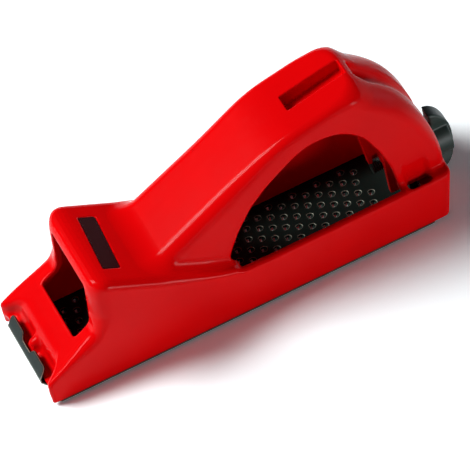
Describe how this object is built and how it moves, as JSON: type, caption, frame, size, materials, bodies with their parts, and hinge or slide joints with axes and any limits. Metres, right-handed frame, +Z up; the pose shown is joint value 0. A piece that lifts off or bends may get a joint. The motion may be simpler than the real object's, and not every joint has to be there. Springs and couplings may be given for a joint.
{
  "type": "rasp plane",
  "caption": "Pocket rasp plane: one-piece moulded hand body with thumb pad, palm opening and mouth over a hooked perforated blade tensioned by a thumb screw.",
  "frame": {"origin": "centre of the bounding box's bottom face, on the surface that the teeth rest on", "axes": "+X from the nose to the tail and the knob, +Y to the far side of the picture, +Z up"},
  "size_m": [0.1664, 0.044, 0.0707],
  "materials": {
    "red_plastic": "glossy moulded red",
    "blade_steel": "oil-darkened hardened sheet steel",
    "label_black": "satin black foil, blank",
    "plated_steel": "zinc-plated steel",
    "knob_plastic": "satin black-green moulded plastic"
  },
  "bodies": {
    "body": {"body_shell": "red_plastic", "rasp_blade": "blade_steel", "blank_label": "label_black"},
    "screw": {"tension_screw": "plated_steel", "tension_knob": "knob_plastic", "thrust_washer": "plated_steel", "screw_clip": "plated_steel"},
    "hook": {"tension_hook": "plated_steel"}
  },
  "joints": [
    {"name": "knob_spin", "type": "hinge", "parent": "body", "child": "screw", "pos_m": [0.07548, 0, 0.016], "axis": [1, 0, 0], "range_deg": [0, 1340]},
    {"name": "hook_slide", "type": "slide", "parent": "body", "child": "hook", "axis": [-1, 0, 0], "range_m": [0, 0.003]}
  ],
  "couplings": [
    {"joint": "hook_slide", "follows": "knob_spin", "m_per_rad": 0.00012732}
  ]
}
